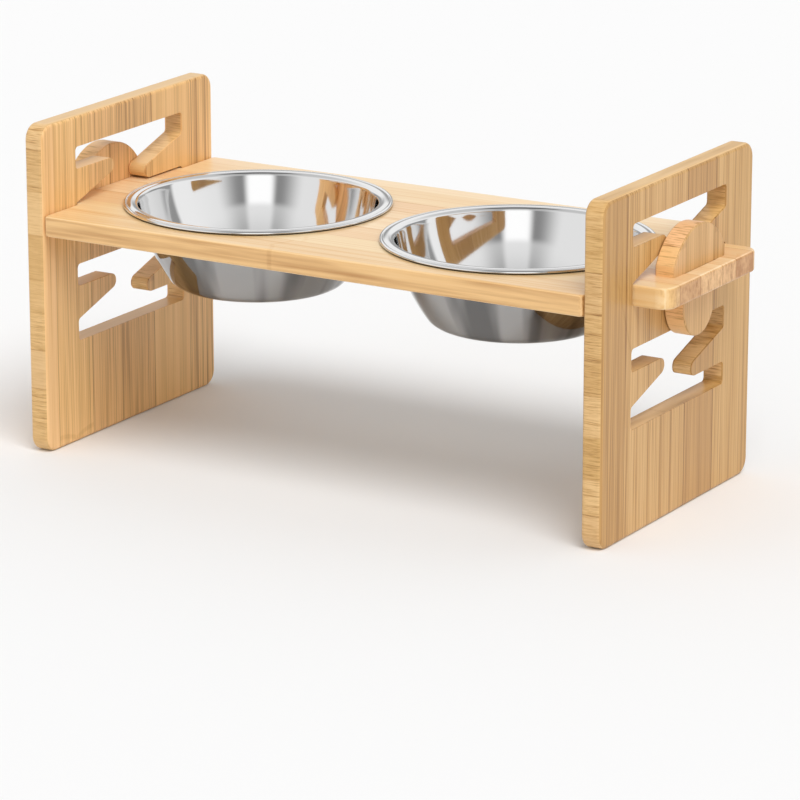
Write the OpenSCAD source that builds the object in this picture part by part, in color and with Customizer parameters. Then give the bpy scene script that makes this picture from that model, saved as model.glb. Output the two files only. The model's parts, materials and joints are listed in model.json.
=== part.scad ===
// Height-adjustable feeder stand for a dog. Two slotted bamboo end panels carry a bowl board,
// a drop-in key locks each of its tongues outside a panel, and two steel bowls hang in it.
// The origin is on the floor under the middle of the stand. X runs along the board, with the
// right panel at +X, Y runs to the rear and Z up. All sizes are in millimetres.

/* [Bowls] */
// Outer radius of a bowl's rim
rim_r = 80.5; // [60:0.5:110]
// Width of the flat flange, from the rim's edge to the bend into the wall
flange_w = 6.3; // [4:0.1:14]
// Height of a bowl from its base to the top of its rim
bowl_depth = 51.5; // [40:0.5:70]
// Lean of the bowl's wall from the vertical, just under the rim
wall_lean = 10.5; // [4:0.5:16]
// Radius of the wall's outward bulge, seen in section
wall_arc_r = 112; // [90:1:250]
// Radius of the bend between the wall and the base
base_bend_r = 12; // [6:0.5:20]
// Radius under the bend between the wall and the flange
rim_bend_r = 2; // [1:0.25:4]
// Thickness of the steel sheet
sheet_t = 0.8; // [0.5:0.1:1.5]
// Radius of the edge that is rolled under round the rim
bead_r = 1.3; // [0.8:0.05:2]
// Height of the flat that the rolled edge rests on
bead_flat = 0.15; // [0.1:0.05:0.3]
// Gap between the rims of the two bowls
rim_gap = 17; // [6:1:60]

/* [Bowl board] */
// Thickness of the board
board_t = 12.5; // [10:0.5:18]
// Wood left in front of a bowl hole and behind it
board_rail = 16.8; // [10:0.2:40]
// Gap from a bowl's rim to the nearest panel
rim_to_panel = 11.5; // [5:0.5:60]
// Play of a bowl in its hole, outside the bend under the flange
hole_gap = 0.6; // [0.3:0.1:1.5]
// Radius of the board's corners inside the panels
board_corner_r = 3; // [2:0.5:15]
// Width of the tongues that pass through the panels
tongue_w = 112; // [96:1:136]
// Wood left on a tongue outside its key
tongue_tip = 9.5; // [8:0.5:30]
// Radius of the corners at the end of a tongue
tongue_corner_r = 9; // [3:0.5:16]
// Round-over along the edges of the board
board_edge_r = 1.5; // [0.5:0.25:3]

/* [End panels] */
// Thickness of a panel
panel_t = 12.5; // [9:0.5:20]
// Radius of a panel's corners
panel_corner_r = 9.5; // [6:0.5:25]
// Round-over along the outer edges of a panel
panel_edge_r = 2.5; // [0.5:0.25:4]
// Wood below the lower slot
foot_h = 62.2; // [30:0.1:140]
// Wood between the two slots
slot_bridge = 24.5; // [15:0.5:60]
// Wood above the upper slot
top_rail = 18.9; // [15:0.1:50]

/* [Slots] */
// Slope of a slot's slanting run, which holds the board tilted
tilt = 17.5; // [16:0.5:20]
// Radius of the tips of a slot's two teeth
tooth_tip_r = 4.5; // [3:0.25:5]
// Room above the board in a slot's two level runs
level_gap = 1; // [0.5:0.1:3]
// Room across the board in a slot's slanting run
slant_gap = 2.1; // [1:0.1:3]
// Room for the ends of a tilted tongue in a slot's height
tilt_gap = 1.7; // [1:0.1:3]
// Play on each side of a tongue in a slot
tongue_gap = 1; // [0.2:0.1:1.5]
// Play between the board's shoulders and a panel
shoulder_gap = 0.2; // [0.1:0.1:0.5]

/* [Keys] */
// Thickness of a key
key_t = 12.5; // [8:0.5:16]
// Width of the shank that drops through a tongue
shank_w = 38; // [24:1:50]
// Straight part of the shank below the board
shank_reach = 8.6; // [4:0.1:20]
// Seat of the head on the tongue, on each side of the shank
key_shoulder = 12; // [6:0.5:14]
// Rise of the head above the tongue
head_rise = 25; // [18:0.5:28]
// Radius of the round top of the head, between its short straight sides
head_r = 34.8; // [30:0.2:45]
// Round-over along the edges of a key
key_edge_r = 1; // [0.5:0.25:2]
// Play of a key in its hole and against the panel
key_gap = 0.3; // [0.2:0.1:0.6]

/* [Hidden] */
$fn = 96;
// Overlap that carries a cut past a face
cut = 1;
// Chords in each round stretch of an outline
arc_steps = 10;

// Bowl section, with its heights measured from the top of the rim
flange_r = rim_r - flange_w;
bend_c = [flange_r, -sheet_t - rim_bend_r];
wall_c = bend_c - (wall_arc_r + rim_bend_r) * [cos(wall_lean), -sin(wall_lean)];
base_bend_z = base_bend_r - bowl_depth;
base_r = wall_c.x + sqrt(pow(wall_arc_r - base_bend_r, 2) - pow(base_bend_z - wall_c.y, 2));
base_c = [base_r, base_bend_z];
base_lean = atan2(wall_c.y - base_c.y, base_c.x - wall_c.x);
rim_rise = 2 * bead_r - bead_flat;

// Bowl board
bowl_x = rim_r + rim_gap / 2;
hole_r = flange_r + hole_gap;
board_depth = 2 * (hole_r + board_rail);
inner_x = bowl_x + rim_r + rim_to_panel;
outer_x = inner_x + panel_t;
shoulder_x = inner_x - shoulder_gap;
key_x = outer_x + key_gap;
tongue_x = key_x + key_t + key_gap + tongue_tip;

// Slots, drawn about their middle with the front of the stand to the left. Their inside
// corners follow the tongue's rounded edges at the distance of its play.
slot_w = tongue_w + 2 * tongue_gap;
slot_h = tongue_w * sin(tilt) + board_t * cos(tilt) + tilt_gap;
tooth_top = slot_h / 2 - board_t - level_gap;
slant_rise = (board_t + slant_gap) / 2 / cos(tilt);
slot_corner_r = board_edge_r + tongue_gap;
corner_x = slot_corner_r - slot_w / 2;
tooth_root = corner_x * tan(tilt) + slant_rise - slot_corner_r / cos(tilt);
tip_rise = tooth_top - tooth_tip_r;
tip_c = [(tip_rise - tooth_tip_r / cos(tilt) - slant_rise) / tan(tilt), tip_rise];

// Heights above the floor
upper_slot_z = foot_h + slot_h + slot_bridge;
panel_h = upper_slot_z + slot_h + top_rail;
board_z = upper_slot_z;
board_top = board_z + board_t;

// Key
head_w = shank_w + 2 * key_shoulder;
shank_l = board_t + shank_reach;

bamboo = [0.86, 0.68, 0.45];
dark_bamboo = [0.80, 0.61, 0.38];
steel = [0.78, 0.79, 0.80];

// Strip of a plate from its inside at x = 0 to its edge at x = reach, with the edge rounded over
module edge_strip(reach, t, edge_r) {
    square([reach - edge_r, t]);
    translate([0, edge_r])
        square([reach, t - 2 * edge_r]);
    for (y = [edge_r, t - edge_r])
        translate([reach - edge_r, y])
            circle(edge_r);
}

// Flat plate, centred on its own middle, with round corners and rounded-over edges
module rounded_plate(a, b, t, corner_r, edge_r) {
    flat = [a - 2 * corner_r, b - 2 * corner_r];
    translate([-flat.x / 2, -flat.y / 2, 0])
        cube([flat.x, flat.y, t]);
    for (side = [0:3]) {
        across = flat[side % 2] / 2;
        along = flat[(side + 1) % 2];
        rotate(90 * side)
            translate([across, along / 2, 0]) {
                rotate([90, 0, 0])
                    linear_extrude(along)
                        edge_strip(corner_r, t, edge_r);
                rotate_extrude(angle = 90)
                    edge_strip(corner_r, t, edge_r);
            }
    }
}

// Points along an arc round a centre, from the step that is named first
function arc(centre, r, from, to, first = 0) = [
    for (i = [first:arc_steps])
        let (a = from + (to - from) * i / arc_steps)
            centre + r * [cos(a), sin(a)]
];

// Front half of a slot's outline: the ends of its two level runs, with round corners, and
// between them a tooth that is flat on top, sloped below and round at the tip
function slot_front() = concat(
    arc([corner_x, slot_corner_r - slot_h / 2], slot_corner_r, -90, -180),
    arc([corner_x, tooth_root], slot_corner_r, 180, 90 + tilt),
    arc(tip_c, tooth_tip_r, tilt - 90, 90),
    arc([corner_x, tooth_top + slot_corner_r], slot_corner_r, -90, -180),
    arc([corner_x, slot_h / 2 - slot_corner_r], slot_corner_r, 180, 90)
);

// Z-shaped slot about its middle. Its rear half is its front half, turned half round.
module slot_outline() {
    polygon(concat(slot_front(), -1 * slot_front()));
}

// End panel, standing on the floor with its left face at x
module end_panel(x) {
    translate([x, 0, 0])
        rotate([90, 0, 90])
            difference() {
                translate([0, panel_h / 2, 0])
                    rounded_plate(board_depth, panel_h, panel_t, panel_corner_r, panel_edge_r);
                for (slot_z = [foot_h, upper_slot_z])
                    translate([0, slot_z + slot_h / 2, -cut])
                        linear_extrude(panel_t + 2 * cut)
                            slot_outline();
            }
}

module left_panel() {
    color(bamboo)
        end_panel(-outer_x);
}

module right_panel() {
    color(bamboo)
        end_panel(inner_x);
}

// Board between the panels, with a tongue through each of them, two bowl holes and two key holes
module bowl_board() {
    color(bamboo)
        translate([0, 0, board_z])
            difference() {
                union() {
                    rounded_plate(2 * shoulder_x, board_depth, board_t, board_corner_r, board_edge_r);
                    rounded_plate(2 * tongue_x, tongue_w, board_t, tongue_corner_r, board_edge_r);
                }
                for (side = [-1, 1]) {
                    translate([side * bowl_x, 0, -cut])
                        cylinder(r = hole_r, h = board_t + 2 * cut);
                    translate([side * (key_x + key_t / 2), 0, board_t / 2])
                        cube([key_t + 2 * key_gap, shank_w + 2 * key_gap, board_t + 2 * cut], center = true);
                }
            }
}

// Bar of key stock from y = 0 down to y = -l, with its long edges rounded over
module key_bar(w, l) {
    for (side = [0, 180])
        rotate([0, side, 0])
            translate([0, 0, side == 0 ? 0 : -key_t])
                rotate([90, 0, 0])
                    linear_extrude(l)
                        edge_strip(w / 2, key_t, key_edge_r);
}

// Key with a half-moon head that rests on a tongue and a round-ended shank that drops through it
module key(x) {
    color(dark_bamboo)
        translate([x, 0, board_top])
            rotate([90, 0, 90]) {
                intersection() {
                    translate([0, head_rise - head_r, 0])
                        rotate_extrude()
                            edge_strip(head_r, key_t, key_edge_r);
                    translate([0, head_rise + cut, 0])
                        key_bar(head_w, head_rise + cut);
                }
                key_bar(shank_w, shank_l);
                translate([0, -shank_l, 0])
                    rotate(180)
                        rotate_extrude(angle = 180)
                            edge_strip(shank_w / 2, key_t, key_edge_r);
            }
}

module left_key() {
    key(-key_x - key_t);
}

module right_key() {
    key(key_x);
}

// One face of the steel sheet from the middle of the base to the rim, inset from the outside
function sheet_face(inset) = concat(
    [[0, inset - bowl_depth], [base_r, inset - bowl_depth]],
    arc(base_c, base_bend_r - inset, -90, -base_lean, 1),
    arc(wall_c, wall_arc_r - inset, -base_lean, -wall_lean, 1),
    arc(bend_c, rim_bend_r + inset, 180 - wall_lean, 90, 1),
    [[rim_r - bead_r, inset - sheet_t]]
);

// Section of a bowl from its middle to its rolled edge, with the top of the rim at y = 0
module bowl_section() {
    inside = sheet_face(sheet_t);
    polygon(concat(sheet_face(0), [for (i = [len(inside) - 1:-1:0]) inside[i]]));
    intersection() {
        translate([rim_r - bead_r, -bead_r])
            circle(bead_r);
        translate([flange_r, -rim_rise])
            square([flange_w, rim_rise]);
    }
}

// Bowl that hangs in the board by its rim
module bowl(x) {
    color(steel)
        translate([x, 0, board_top + rim_rise])
            rotate_extrude()
                bowl_section();
}

module left_bowl() {
    bowl(-bowl_x);
}

module right_bowl() {
    bowl(bowl_x);
}

left_panel();
right_panel();
bowl_board();
left_key();
right_key();
left_bowl();
right_bowl();
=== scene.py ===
import json
import math
from typing import NamedTuple

import bpy
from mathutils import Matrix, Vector

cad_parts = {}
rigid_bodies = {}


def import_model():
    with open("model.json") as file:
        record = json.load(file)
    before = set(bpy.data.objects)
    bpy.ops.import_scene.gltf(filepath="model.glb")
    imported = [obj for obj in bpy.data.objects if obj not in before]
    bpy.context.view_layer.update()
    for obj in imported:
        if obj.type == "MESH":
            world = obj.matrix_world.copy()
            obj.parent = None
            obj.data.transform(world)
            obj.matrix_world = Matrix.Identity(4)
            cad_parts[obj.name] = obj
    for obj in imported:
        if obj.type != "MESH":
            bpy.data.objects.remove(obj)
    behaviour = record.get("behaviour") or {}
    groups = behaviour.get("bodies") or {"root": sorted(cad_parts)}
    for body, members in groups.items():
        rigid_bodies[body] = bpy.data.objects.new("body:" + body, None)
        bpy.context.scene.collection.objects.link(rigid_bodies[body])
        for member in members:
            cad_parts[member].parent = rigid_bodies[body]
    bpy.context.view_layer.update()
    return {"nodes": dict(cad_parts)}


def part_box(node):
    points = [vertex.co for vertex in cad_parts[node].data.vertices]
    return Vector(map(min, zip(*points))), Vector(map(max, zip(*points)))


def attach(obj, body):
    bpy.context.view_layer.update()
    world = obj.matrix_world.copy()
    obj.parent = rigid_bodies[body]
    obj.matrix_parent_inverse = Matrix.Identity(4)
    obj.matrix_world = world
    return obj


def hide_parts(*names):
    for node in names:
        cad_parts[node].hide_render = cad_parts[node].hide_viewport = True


# Dresses the feeder stand: bamboo finishes on the wooden nodes, smooth polished bowls, a pale
# floor, soft studio light and the photograph's camera. Sizes are in millimetres unless a name
# or a comment says otherwise, and MM turns them into the scene's metres.
MM = 0.001
X, Z = 0, 2
QUARTER_TURN = math.pi / 2

for leftover in list(bpy.data.objects):
    bpy.data.objects.remove(leftover)
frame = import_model()


def middle(node, axis):
    """Middle of a node along an axis, in millimetres."""
    low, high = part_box(node)
    return (low[axis] + high[axis]) / 2 / MM


def thickness(node, axis):
    """Extent of a node along an axis, in millimetres."""
    low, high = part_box(node)
    return (high[axis] - low[axis]) / MM


def colour(red, green, blue):
    """Linear colour with alpha from the 0 to 255 values that a screen shows."""
    linear = [((c / 255 + 0.055) / 1.055) ** 2.4 for c in (red, green, blue)]
    return (*linear, 1.0)


# Ends of a ramp that goes up or down as its value passes through a span
RISE = (0.0, 1.0)
FALL = (1.0, 0.0)


class Shader:
    """Node tree of one new material or of the world, with short calls for the nodes it needs."""

    def __init__(self, owner):
        owner.use_nodes = True
        self.owner = owner
        self.nodes = owner.node_tree.nodes
        self.links = owner.node_tree.links

    def put(self, socket, value):
        """Sets a socket to a constant, or links it to another node's output."""
        if isinstance(value, bpy.types.NodeSocket):
            self.links.new(value, socket)
        else:
            socket.default_value = value

    def node(self, kind, inputs=None, **settings):
        """New node with its settings, and with its inputs set or linked."""
        node = self.nodes.new("ShaderNode" + kind)
        for key, value in settings.items():
            setattr(node, key, value)
        for key, value in (inputs or {}).items():
            self.put(node.inputs[key], value)
        return node

    def math(self, operation, *values):
        """Result of one operation on numbers."""
        node = self.node("Math", operation=operation)
        for socket, value in zip(node.inputs, values):
            self.put(socket, value)
        return node.outputs["Value"]

    def scaled(self, value, factor, offset=0.0):
        """A value times a factor, plus an offset."""
        return self.math("MULTIPLY_ADD", value, factor, offset)

    def ramp(self, value, span, ends=RISE):
        """Smooth step from one end to the other as a value passes through a span."""
        limits = {"From Min": span[0], "From Max": span[1], "To Min": ends[0], "To Max": ends[1]}
        node = self.node("MapRange", {"Value": value, **limits}, interpolation_type="SMOOTHSTEP")
        return node.outputs["Result"]

    def vector(self, x, y, z):
        """Vector of three numbers."""
        return self.node("CombineXYZ", {"X": x, "Y": y, "Z": z}).outputs["Vector"]

    def split(self, vector):
        """The x, y and z of a vector."""
        node = self.node("SeparateXYZ", {"Vector": vector})
        return [node.outputs[axis] for axis in "XYZ"]

    def noise(self, vector, detail, roughness=0.5):
        """Soft noise, from 0 to 1, that changes over a length of about 1."""
        inputs = {"Vector": vector, "Scale": 1.0, "Detail": detail, "Roughness": roughness}
        return self.node("TexNoise", inputs).outputs["Fac"]

    def cells(self, position, feature, randomness):
        """Row of cells of uneven width along one coordinate."""
        inputs = {"W": position, "Scale": 1.0, "Randomness": randomness}
        return self.node("TexVoronoi", inputs, voronoi_dimensions="1D", feature=feature)

    def mix(self, factor, first, second):
        """Blend of two numbers, which go into the node's inputs 2 and 3."""
        inputs = {"Factor": factor, 2: first, 3: second}
        return self.node("Mix", inputs, data_type="FLOAT").outputs[0]

    def mix_colours(self, factor, first, second):
        """Blend of two colours, which go into the node's inputs 6 and 7."""
        inputs = {"Factor": factor, 6: first, 7: second}
        return self.node("Mix", inputs, data_type="RGBA").outputs[2]

    def position(self):
        """The surface point's x, y and z in millimetres, in the frame of the object."""
        coordinates = self.node("TexCoord").outputs["Object"]
        in_mm = self.node("VectorMath", {0: coordinates, 1: (1 / MM,) * 3}, operation="MULTIPLY")
        return self.split(in_mm.outputs["Vector"])

    def normal(self):
        """The x, y and z of the surface's true normal."""
        return self.split(self.node("NewGeometry").outputs["True Normal"])


# Bamboo: strips glued side by side, with fibres along them. A tone of 0 is dark and 1 is pale.
STRIP_UNEVEN = 0.6
SEAM = (0.3, 0.7)
SEAM_DEPTH = 0.45

# The fibres are dark lines, finer hairs among them, and broad sweeps of tone
FIBRE_STRETCH = 170
FIBRE_SHIFT = 90
FIBRE_ROUGHNESS = 0.6
LINE_DETAIL = 4
LINE_SPAN = (0.42, 0.72)
HAIR_DETAIL = 2
HAIR_SPAN = (0.42, 0.68)
HAIRS_TO_A_LINE = 2.5
HAIR_SHARE = 0.7
SWEEP_DETAIL = 3
LINES_TO_A_SWEEP = 4
SWEEP_DEPTH = 0.4
DENSE_LEAST = 0.3
DENSE_RANGE = 0.8

# A knuckle's shift, arch and width are in pitches, and knuckles cross a strip at this pitch
KNUCKLE_PITCH = 360
KNUCKLE_SHIFT = 7
KNUCKLE_ARCH = 0.05
KNUCKLE_WIDTH = (0.002, 0.006)
KNUCKLE_DEPTH = 0.09


class Layer(NamedTuple):
    """How one layer of strips looks.

    strip_w is the usual width of a strip, pitch the spacing of the fibre lines, line_depth how
    far a line reaches through the depth, share how dark a line gets, contrast how far the strips'
    tones differ, rarity how few of the strips are cut where the fibres are dense, and lift the
    tone between the lines.
    """

    strip_w: float
    pitch: float
    line_depth: float
    share: float
    contrast: float
    rarity: float
    lift: float


def bamboo_layer(s, layer, along, across, depth, seed):
    """Tone and warmth, from 0 to 1, of glued strips whose fibres run along one direction."""
    row = s.math("ADD", s.scaled(across, 1 / layer.strip_w), seed)
    strip = s.cells(row, "F1", STRIP_UNEVEN)
    chance = s.node("SeparateColor", {"Color": strip.outputs["Color"]}).outputs
    edge = s.cells(row, "DISTANCE_TO_EDGE", STRIP_UNEVEN).outputs["Distance"]

    # Each strip's fibres start somewhere else, so no line runs on into the next strip
    start = s.scaled(chance["Red"], FIBRE_SHIFT)

    def fibres(spacing, stretch, detail):
        spot = s.vector(
            s.math("ADD", s.scaled(across, 1 / spacing), start),
            s.scaled(depth, 1 / layer.line_depth),
            s.scaled(along, 1 / stretch),
        )
        return s.noise(spot, detail, FIBRE_ROUGHNESS)

    lines = s.ramp(fibres(layer.pitch, FIBRE_STRETCH, LINE_DETAIL), LINE_SPAN)
    hair_pitch = layer.pitch / HAIRS_TO_A_LINE
    hairs = s.ramp(fibres(hair_pitch, FIBRE_STRETCH / 2, HAIR_DETAIL), HAIR_SPAN)
    sweep = fibres(layer.pitch * LINES_TO_A_SWEEP, FIBRE_STRETCH * 2, SWEEP_DETAIL)

    # A knuckle crosses a strip here and there as a low arch
    shift = s.scaled(chance["Green"], KNUCKLE_SHIFT)
    spot = s.math("ADD", s.scaled(along, 1 / KNUCKLE_PITCH), shift)
    arch = s.scaled(s.math("POWER", edge, 2.0), KNUCKLE_ARCH)
    gap = s.math("PINGPONG", s.math("ADD", spot, arch), 0.5)
    knuckle = s.ramp(gap, KNUCKLE_WIDTH, FALL)

    # Some strips are cut where the fibres are dense and dark, others where they hardly show
    dense = s.scaled(s.math("POWER", chance["Blue"], layer.rarity), DENSE_RANGE, DENSE_LEAST)
    line_dark = s.math("MULTIPLY", s.scaled(lines, layer.share), dense)
    hair_dark = s.math("MULTIPLY", s.scaled(hairs, layer.share * HAIR_SHARE), dense)
    seam = s.ramp(edge, [side / layer.strip_w for side in SEAM], FALL)
    seam_dark = s.math("MULTIPLY", seam, s.scaled(chance["Green"], SEAM_DEPTH))

    tone = s.scaled(chance["Red"], layer.contrast, layer.lift - layer.contrast / 2)
    tone = s.math("ADD", tone, s.scaled(sweep, SWEEP_DEPTH, -SWEEP_DEPTH / 2))
    for dark in (line_dark, hair_dark, s.scaled(knuckle, KNUCKLE_DEPTH), seam_dark):
        tone = s.math("SUBTRACT", tone, dark)
    return tone, chance["Green"]


class Palette(NamedTuple):
    """The dark, middle and pale colour of a wood's fibres."""

    dark: tuple
    mid: tuple
    pale: tuple


# Lacquered surface of the bamboo, where paler fibres are smoother
RELIEF = 0.12
RELIEF_STRENGTH = 0.12
WOOD_ROUGHNESS = 0.5
PALE_IS_SMOOTHER = 0.12
WOOD_IOR = 1.45
LACQUER_ROUGHNESS = 0.22


def bamboo_finish(s, tone, warmth, gain, yellow, pink, lacquer):
    """Colour, gloss and relief of lacquered bamboo from the tone and warmth of its fibres.

    yellow and pink are palettes, gain is a vector that makes the colour paler as a whole, and
    lacquer is how much of the surface its glossy coat covers.
    """
    sets = []
    for palette in (yellow, pink):
        ramp = s.node("ValToRGB", {"Fac": tone})
        stops = ramp.color_ramp.elements
        stops[0].position = 0.0
        stops[0].color = palette.dark
        stops[1].position = 1.0
        stops[1].color = palette.pale
        stops.new(0.5).color = palette.mid
        sets.append(ramp.outputs["Color"])
    blend = s.mix_colours(warmth, *sets)
    gained = s.node("VectorMath", {0: blend, 1: gain}, operation="MULTIPLY")
    relief = s.node("Bump", {"Height": tone, "Strength": RELIEF_STRENGTH, "Distance": RELIEF * MM})
    shader = s.nodes["Principled BSDF"]
    s.put(shader.inputs["Base Color"], gained.outputs["Vector"])
    s.put(shader.inputs["Roughness"], s.scaled(tone, -PALE_IS_SMOOTHER, WOOD_ROUGHNESS))
    s.put(shader.inputs["Normal"], relief.outputs["Normal"])
    shader.inputs["IOR"].default_value = WOOD_IOR
    shader.inputs["Coat Weight"].default_value = lacquer
    shader.inputs["Coat Roughness"].default_value = LACQUER_ROUGHNESS


class Ply(NamedTuple):
    """Stock of the panels or of the keys, between outer layers that are alike.

    face_layer is the thickness of an outer layer; the level entry is how much paler a level cut
    through the core is painted than an upright one, as painted light for the brighter light on
    level faces such as sills and top edges.
    """

    core: Layer
    yellow: Palette
    pink: Palette
    face_layer: float
    level_painted_light: float
    seed: float


# Panels and keys: upright strips on a core of level ones. The outer layers on the left are paler,
# partly in their own tone and partly as painted light for the light that the board and bowls throw
# onto the left panel.
FACE = Layer(
    strip_w=38, pitch=1.6, line_depth=3, share=0.34, contrast=0.26, rarity=1.0, lift=0.66
)
PANEL_PLY = Ply(
    core=Layer(
        strip_w=24, pitch=0.8, line_depth=14, share=0.54, contrast=0.36, rarity=1.3, lift=0.92
    ),
    yellow=Palette(colour(126, 83, 36), colour(198, 153, 88), colour(232, 191, 128)),
    pink=Palette(colour(126, 80, 38), colour(197, 150, 91), colour(231, 192, 137)),
    face_layer=0.9,
    level_painted_light=0.13,
    seed=0.2,
)
KEY_PLY = Ply(
    core=Layer(
        strip_w=24, pitch=0.75, line_depth=14, share=0.55, contrast=0.2, rarity=1.0, lift=1.25
    ),
    yellow=Palette(colour(126, 83, 36), colour(194, 149, 86), colour(250, 205, 144)),
    pink=Palette(colour(126, 80, 38), colour(195, 146, 90), colour(250, 201, 150)),
    face_layer=0.8,
    level_painted_light=0.0,
    seed=4.1,
)
LEFT_TO_RIGHT = (-1, 1)
LEFT_GAIN_WITH_PAINTED_LIGHT = (1.49, 1.57, 1.9)
RIGHT_GAIN = (0.98, 0.98, 0.98)
UPRIGHT_LACQUER = 0.2
LAYER_BLEND = 0.1
LEVEL_NORMAL = (0.6, 0.95)
FACE_SIDE_SEED = 3.3
CORE_SEED = 11.4
CORE_SIDE_SEED = 4.4


def upright_ply(name, node, ply):
    """Panel and key stock: two thin outer layers of upright strips on a core of level ones.

    node is one of a pair of pieces, which stand equally far from the middle of the stand.
    """
    s = Shader(bpy.data.materials.new(name))
    x, y, z = s.position()
    side = s.math("SIGN", x)
    depth = s.math("ABSOLUTE", s.math("SUBTRACT", s.math("ABSOLUTE", x), abs(middle(node, X))))
    joint = thickness(node, X) / 2 - ply.face_layer
    outside = s.ramp(depth, (joint - LAYER_BLEND, joint + LAYER_BLEND))
    face_seed = s.scaled(side, FACE_SIDE_SEED, ply.seed)
    face, face_warmth = bamboo_layer(s, FACE, z, y, x, face_seed)

    core_seed = s.scaled(side, CORE_SIDE_SEED, ply.seed + CORE_SEED)
    core, core_warmth = bamboo_layer(s, ply.core, y, z, x, core_seed)
    # Level cuts through the core are painted paler, as painted light on faces that face up or down
    level = s.ramp(s.math("ABSOLUTE", s.normal()[Z]), LEVEL_NORMAL)
    core = s.math("ADD", core, s.scaled(level, ply.level_painted_light))

    tone = s.mix(outside, core, face)
    warmth = s.mix(outside, core_warmth, face_warmth)
    # The outer layers of the left pieces are made paler, partly their own tone and partly painted
    # light for the light thrown onto them by the board and bowls
    gains = []
    for ends in zip(LEFT_GAIN_WITH_PAINTED_LIGHT, RIGHT_GAIN):
        gains.append(s.mix(outside, 1.0, s.ramp(side, LEFT_TO_RIGHT, ends)))
    bamboo_finish(s, tone, warmth, s.vector(*gains), ply.yellow, ply.pink, UPRIGHT_LACQUER)
    return s.owner


# Board: strips along its length. Its ends are darker than its faces, and its long edges are painted
# darker than its faces as painted shade.
BOARD = Layer(
    strip_w=23, pitch=1.8, line_depth=5, share=0.24, contrast=0.3, rarity=1.3, lift=0.84
)
BOARD_YELLOW = Palette(colour(176, 122, 60), colour(236, 193, 128), colour(253, 228, 180))
BOARD_PINK = Palette(colour(178, 121, 66), colour(238, 189, 136), colour(253, 224, 186))
BOARD_SEED = 2.6
BOARD_LACQUER = 0.45
NO_GAIN = (1, 1, 1)
END_NORMAL = (0.5, 0.95)
END_GRAIN_DROP = 0.5
LONG_EDGE_NORMAL = (0.8, 0.85)
LONG_EDGE_PAINTED_SHADE = 0.22


def lengthwise_board(name):
    """Board stock: strips that run along the board through its whole thickness."""
    s = Shader(bpy.data.materials.new(name))
    x, y, z = s.position()
    lengthwise, crosswise, _ = s.normal()
    end_grain = s.ramp(s.math("ABSOLUTE", lengthwise), END_NORMAL)
    long_edge = s.ramp(s.math("ABSOLUTE", crosswise), LONG_EDGE_NORMAL)
    tone, warmth = bamboo_layer(s, BOARD, x, y, z, BOARD_SEED)
    tone = s.math("SUBTRACT", tone, s.scaled(end_grain, END_GRAIN_DROP))
    # Painted shade: the long edges get a darker tone for the lesser light on them
    tone = s.math("SUBTRACT", tone, s.scaled(long_edge, LONG_EDGE_PAINTED_SHADE))
    bamboo_finish(s, tone, warmth, NO_GAIN, BOARD_YELLOW, BOARD_PINK, BOARD_LACQUER)
    return s.owner


# Bowl section: the solid's, with a groove behind the rolled edge and a crowned flange
BOWL_DEPTH = thickness("left_bowl", Z)
RIM_R = 80.5
FLANGE_W = 6.3
WALL_LEAN = math.radians(10.5)
WALL_ARC_R = 112
BASE_BEND_R = 12
RIM_BEND_R = 2
SHEET_T = 0.8
BEAD_R = 1.3
BEAD_FLAT = 0.15
GROOVE_TURN = math.radians(45)
FLANGE_CROWN = 0.25

# Steps along each stretch of the section, and round the bowl
FLOOR_STEPS = 6
BASE_BEND_STEPS = 16
WALL_STEPS = 24
RIM_BEND_STEPS = 12
BEAD_INNER_STEPS = 6
BEAD_OUTER_STEPS = 20
FLANGE_STEPS = 12
LATHE_STEPS = 224


def arc(centre, r, start, end, steps):
    """Points of a section along an arc round a centre."""
    turn = [start + (end - start) * i / steps for i in range(steps + 1)]
    return [(centre[0] + r * math.cos(a), centre[1] + r * math.sin(a)) for a in turn]


def bowl_section():
    """Closed section of a bowl as radius and height, with the top of the rim at height 0."""
    flange_r = RIM_R - FLANGE_W
    bend_c = (flange_r, -SHEET_T - RIM_BEND_R)
    reach = WALL_ARC_R + RIM_BEND_R
    wall_c = (bend_c[0] - reach * math.cos(WALL_LEAN), bend_c[1] + reach * math.sin(WALL_LEAN))
    base_z = BASE_BEND_R - BOWL_DEPTH
    base_r = wall_c[0] + math.sqrt((WALL_ARC_R - BASE_BEND_R) ** 2 - (base_z - wall_c[1]) ** 2)
    base_c = (base_r, base_z)
    base_lean = math.atan2(wall_c[1] - base_z, base_r - wall_c[0])

    def sheet(inset):
        """One side of the sheet, from the middle of the floor to the flange."""
        bend_start = math.pi - WALL_LEAN
        return (
            [(base_r * i / FLOOR_STEPS, inset - BOWL_DEPTH) for i in range(FLOOR_STEPS)]
            + arc(base_c, BASE_BEND_R - inset, -QUARTER_TURN, -base_lean, BASE_BEND_STEPS)
            + arc(wall_c, WALL_ARC_R - inset, -base_lean, -WALL_LEAN, WALL_STEPS)[1:]
            + arc(bend_c, RIM_BEND_R + inset, bend_start, QUARTER_TURN, RIM_BEND_STEPS)[1:]
        )

    # The rolled edge is round, with a narrow flat under it that rests on the board
    bead_c = (RIM_R - BEAD_R, -BEAD_R)
    flat = math.asin(1 - BEAD_FLAT / BEAD_R)
    under = math.asin((BEAD_R - SHEET_T) / BEAD_R)
    roll = arc(bead_c, BEAD_R, math.pi - under, math.pi + flat, BEAD_INNER_STEPS)
    roll += arc(bead_c, BEAD_R, -flat, QUARTER_TURN + GROOVE_TURN, BEAD_OUTER_STEPS)

    # The flange rises from the groove behind the rolled edge and is a little crowned
    groove_r, groove_z = roll[-1]
    crown = []
    for i in range(1, FLANGE_STEPS):
        inward = i / FLANGE_STEPS
        outward = 1 - inward
        height = groove_z * outward ** 2 + 4 * FLANGE_CROWN * inward * outward
        crown.append((groove_r + (flange_r - groove_r) * inward, height))
    return sheet(0) + roll + crown + list(reversed(sheet(SHEET_T)))


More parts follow.
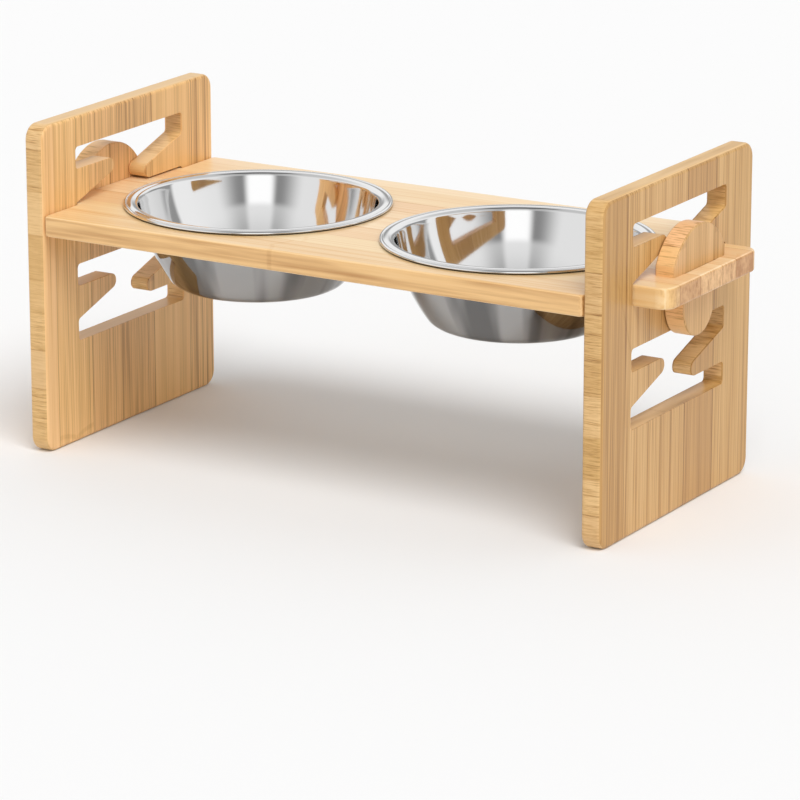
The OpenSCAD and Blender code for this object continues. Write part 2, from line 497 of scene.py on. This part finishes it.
def lathe(name, section, centre, top):
    """Closed mesh of a section that starts and ends on its axis, turned about the vertical."""
    points = []
    rings = []
    for r, z in section:
        count = 1 if r == 0 else LATHE_STEPS
        rings.append(range(len(points), len(points) + count))
        for i in range(count):
            turn = 2 * math.pi * i / LATHE_STEPS
            place = (centre + r * math.cos(turn), r * math.sin(turn), top + z)
            points.append(Vector(place) * MM)
    faces = []
    for low, high in zip(rings, rings[1:]):
        for i in range(LATHE_STEPS):
            j = (i + 1) % LATHE_STEPS
            if len(low) == 1:
                faces.append((low[0], high[j], high[i]))
            elif len(high) == 1:
                faces.append((low[i], low[j], high[0]))
            else:
                faces.append((low[i], low[j], high[j], high[i]))
    mesh = bpy.data.meshes.new(name)
    mesh.from_pydata(points, [], faces)
    mesh.shade_smooth()
    piece = bpy.data.objects.new(name, mesh)
    bpy.context.scene.collection.objects.link(piece)
    return piece


# Polished steel: the share of light that each side gives back. Outside it is lowered and varies in
# bands, as painted reflection of the darker floor that it mirrors, and under the bead it is lowered
# as painted shade.
STEEL_INSIDE = 0.84
# Painted reflection: the outside's darker shares stand for the darker floor that it mirrors
STEEL_OUTSIDE_PAINTED_REFLECTION = (0.4, 0.17)
# Painted shade: the lower half of the rolled edge gets this dark share, as a shadow line on the
# board
BEAD_PAINTED_SHADE = 0.08
UNDERSIDE_NORMAL = (-0.12, 0.0)
BEAD_SPAN = (RIM_R - 3 * BEAD_R, RIM_R - 2.5 * BEAD_R)

# The painted reflection bands come from noise round the bowl, in which BAND_HEIGHT counts as much
# as one radian
BANDS_TO_A_RADIAN = 3.6
BAND_HEIGHT = 400
BAND_DETAIL = 2
BAND_ROUGHNESS = 0.4
BAND_SPAN = (0.42, 0.62)

# Lines that spinning leaves and broad swells of the sheet, both per millimetre
SPUN_LINES = 2.6
SPUN_DETAIL = 3
SPUN_UNEVEN = 0.7
SPUN_SHARE = 0.02
SWELLS = 0.03
SWELL_DETAIL = 1
STEEL_RELIEF = 0.25
STEEL_RELIEF_STRENGTH = 0.12
STEEL_ROUGHNESS = 0.03
SPUN_ROUGHNESS = 0.06


def polished_steel(name, bowl):
    """Mirror-polished sheet: bright inside and on the flange, with painted shade under the bead and
    a painted reflection that darkens the outside.

    The outside's painted reflection lies in soft bands that run down the wall.
    """
    s = Shader(bpy.data.materials.new(name))
    x, y, z = s.position()
    off = s.math("SUBTRACT", s.math("ABSOLUTE", x), abs(middle(bowl, X)))
    squares = s.math("ADD", s.math("POWER", off, 2.0), s.math("POWER", y, 2.0))
    radius = s.math("SQRT", squares)
    spin = s.vector(s.scaled(radius, SPUN_LINES), s.scaled(z, SPUN_LINES), 0.0)
    spun = s.noise(spin, SPUN_DETAIL, SPUN_UNEVEN)
    swell = s.noise(s.vector(*[s.scaled(place, SWELLS) for place in (x, y, z)]), SWELL_DETAIL)
    relief = s.node("Bump", {
        "Height": s.math("ADD", s.scaled(spun, SPUN_SHARE), swell),
        "Strength": STEEL_RELIEF_STRENGTH,
        "Distance": STEEL_RELIEF * MM,
    })

    # The outside faces down, and so does the lower half of the bead. The outside gets the painted
    # reflection bands, and the bead's lower half is painted dark as shade, a dark line along the
    # board
    under = s.ramp(s.normal()[Z], UNDERSIDE_NORMAL, FALL)
    bead = s.ramp(radius, BEAD_SPAN)
    round_the_bowl = s.vector(
        s.scaled(s.math("DIVIDE", off, radius), BANDS_TO_A_RADIAN),
        s.scaled(s.math("DIVIDE", y, radius), BANDS_TO_A_RADIAN),
        s.scaled(z, BANDS_TO_A_RADIAN / BAND_HEIGHT),
    )
    # Painted reflection: dark and light bands round the outside
    painted_reflection_band = s.ramp(s.noise(round_the_bowl, BAND_DETAIL, BAND_ROUGHNESS), BAND_SPAN, STEEL_OUTSIDE_PAINTED_REFLECTION)
    bright = s.mix(under, STEEL_INSIDE, s.mix(bead, painted_reflection_band, BEAD_PAINTED_SHADE))
    grey = s.node("CombineColor", {"Red": bright, "Green": bright, "Blue": bright})
    shader = s.nodes["Principled BSDF"]
    s.put(shader.inputs["Base Color"], grey.outputs["Color"])
    shader.inputs["Metallic"].default_value = 1.0
    s.put(shader.inputs["Roughness"], s.scaled(spun, SPUN_ROUGHNESS, STEEL_ROUGHNESS))
    s.put(shader.inputs["Normal"], relief.outputs["Normal"])
    return s.owner


def dress(node, material):
    """Gives a node of the frame one material."""
    slots = frame["nodes"][node].data.materials
    slots.clear()
    slots.append(material)


# Sanded edges of the panels
SANDED = 0.5
SANDED_STEPS = 2
SHARP_EDGE = math.radians(40)
WELD = 0.001


def soften(node):
    """Eases the sharp edges of a wooden node a little, as sanding does."""
    piece = frame["nodes"][node]
    weld = piece.modifiers.new("weld", "WELD")
    weld.merge_threshold = WELD * MM
    bevel = piece.modifiers.new("sanded", "BEVEL")
    bevel.width = SANDED * MM
    bevel.segments = SANDED_STEPS
    bevel.limit_method = "ANGLE"
    bevel.angle_limit = SHARP_EDGE
    bevel.harden_normals = True


panel_finish = upright_ply("panel_bamboo", "right_panel", PANEL_PLY)
key_finish = upright_ply("key_bamboo", "right_key", KEY_PLY)
board_finish = lengthwise_board("board_bamboo")
for side in ("left", "right"):
    dress(side + "_panel", panel_finish)
    dress(side + "_key", key_finish)
    soften(side + "_panel")
dress("bowl_board", board_finish)

steel = polished_steel("bowl_steel", "right_bowl")
section = bowl_section()
for side in ("left", "right"):
    node = side + "_bowl"
    rim_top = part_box(node)[1][Z] / MM
    bowl = lathe(side + "_steel_bowl", section, middle(node, X), rim_top)
    bowl.data.materials.append(steel)
    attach(bowl, node)
    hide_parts(node)

# Floor, in metres
FLOOR_HALF = 30
FLOOR_COLOUR = (0.89, 0.89, 0.89, 1)
FLOOR_ROUGHNESS = 0.9


def add_floor():
    """A wide dull floor under the stand."""
    mesh = bpy.data.meshes.new("floor")
    corners = [(-1, -1), (1, -1), (1, 1), (-1, 1)]
    mesh.from_pydata([(a * FLOOR_HALF, b * FLOOR_HALF, 0) for a, b in corners], [], [(0, 1, 2, 3)])
    floor = bpy.data.objects.new("floor", mesh)
    bpy.context.scene.collection.objects.link(floor)
    s = Shader(bpy.data.materials.new("floor"))
    shader = s.nodes["Principled BSDF"]
    shader.inputs["Base Color"].default_value = FLOOR_COLOUR
    shader.inputs["Roughness"].default_value = FLOOR_ROUGHNESS
    shader.inputs["Specular IOR Level"].default_value = 0.0
    mesh.materials.append(s.owner)


# Camera, with its place and reach in metres
CAMERA_AT = Vector((1.30002, -2.16497, 0.76494))
CAMERA_AZIMUTH = math.radians(30.8006)
CAMERA_ELEVATION = math.radians(16.0646)
CAMERA_REACH = 100
LENS_MM = 199.339
SENSOR_MM = 36


def add_camera():
    """The photograph's camera, in front of the stand and to its right."""
    lens = bpy.data.cameras.new("camera")
    lens.lens = LENS_MM
    lens.sensor_width = SENSOR_MM
    lens.clip_end = CAMERA_REACH
    camera = bpy.data.objects.new("camera", lens)
    camera.location = CAMERA_AT
    camera.rotation_euler = (QUARTER_TURN - CAMERA_ELEVATION, 0, CAMERA_AZIMUTH)
    bpy.context.scene.collection.objects.link(camera)
    bpy.context.scene.camera = camera


# Studio dome: its brightness, and what stands in it. A turn is the angle from the photograph's
# side in radians, a height is the sine of the elevation, and a pair is where an edge starts and
# where it ends.
FRONT, REAR, OVERHEAD = 0.88, 0.97, 0.62
FRONT_TO_REAR = (-0.5, 0.4)
OVERHEAD_HEIGHT = (0.45, 0.85)

WINDOW_LIFT = 0.3
WINDOW_TURN = (0.14, 0.3)
WINDOW_SILL = (0.06, 0.12)

WALL_DIP, CEILING_DIP = 0.6, 0.28
WALL_NEAR, WALL_FAR = (0.18, 0.32), (0.34, 0.8)
WALL_TOP = (0.38, 0.46)
CEILING_END = (0.75, 0.95)

SKIRT_DIP = 0.6
SKIRT_TURN = (2.2, 2.6)
SKIRT_TOP = (0.18, 0.27)

SCREEN_DIP = 0.65
SCREEN_NEAR, SCREEN_FAR = (1.6, 1.7), (2.2, 2.5)
SCREEN_TOP = (0.3, 0.4)

ZENITH_DIP = 0.52
ZENITH_HEIGHT = (0.92, 0.97)


def add_studio():
    """A pale dome that is brightest to the rear, with what the polished steel mirrors of a room."""
    world = bpy.data.worlds.new("studio")
    bpy.context.scene.world = world
    s = Shader(world)
    x, y, height = s.split(s.node("TexCoord").outputs["Generated"])
    low = s.ramp(y, FRONT_TO_REAR, (FRONT, REAR))
    level = s.mix(s.ramp(height, OVERHEAD_HEIGHT), low, OVERHEAD)

    # In front stands a window between two dim stretches of wall, which end under a ceiling
    sine, cosine = math.sin(CAMERA_AZIMUTH), math.cos(CAMERA_AZIMUTH)
    across = s.math("ADD", s.scaled(x, cosine), s.scaled(y, sine))
    towards = s.math("SUBTRACT", s.scaled(x, sine), s.scaled(y, cosine))
    turn = s.math("ABSOLUTE", s.math("ARCTAN2", across, towards))
    below_ceiling = s.ramp(height, WALL_TOP, FALL)
    window = s.math("MULTIPLY", s.ramp(turn, WINDOW_TURN, FALL), below_ceiling)
    window = s.math("MULTIPLY", window, s.ramp(height, WINDOW_SILL))
    wall = s.math("SUBTRACT", s.ramp(turn, WALL_NEAR), s.ramp(turn, WALL_FAR))
    wall = s.math("MULTIPLY", wall, s.mix(below_ceiling, CEILING_DIP, WALL_DIP))
    wall = s.math("MULTIPLY", wall, s.ramp(height, CEILING_END, FALL))

    # A grey skirt runs along the horizon to the rear, a dim screen stands low on each side, and
    # the zenith is dim
    skirt = s.math("MULTIPLY", s.ramp(turn, SKIRT_TURN), s.ramp(height, SKIRT_TOP, FALL))
    screen = s.math("SUBTRACT", s.ramp(turn, SCREEN_NEAR), s.ramp(turn, SCREEN_FAR))
    screen = s.math("MULTIPLY", screen, s.ramp(height, SCREEN_TOP, FALL))
    zenith = s.ramp(height, ZENITH_HEIGHT, (0.0, ZENITH_DIP))

    level = s.math("ADD", level, s.scaled(window, WINDOW_LIFT))
    for dip in (wall, s.scaled(skirt, SKIRT_DIP), s.scaled(screen, SCREEN_DIP), zenith):
        level = s.math("SUBTRACT", level, dip)
    background = s.nodes["Background"]
    background.inputs["Color"].default_value = (1, 1, 1, 1)
    s.put(background.inputs["Strength"], level)


# Lamp
LAMP_STRENGTH = 1.65
LAMP_SOFTNESS = math.radians(34)
LAMP_ELEVATION = math.radians(58)
LAMP_AZIMUTH = math.radians(48)


def add_lamp():
    """A wide soft lamp, high in front and to the right, which the steel doesn't mirror."""
    light = bpy.data.lights.new("soft_lamp", "SUN")
    light.energy = LAMP_STRENGTH
    light.angle = LAMP_SOFTNESS
    lamp = bpy.data.objects.new("soft_lamp", light)
    lamp.rotation_euler = (QUARTER_TURN - LAMP_ELEVATION, 0, LAMP_AZIMUTH)
    lamp.visible_glossy = False
    bpy.context.scene.collection.objects.link(lamp)


add_floor()
add_studio()
add_lamp()
add_camera()
bpy.context.scene.view_settings.view_transform = "Standard"
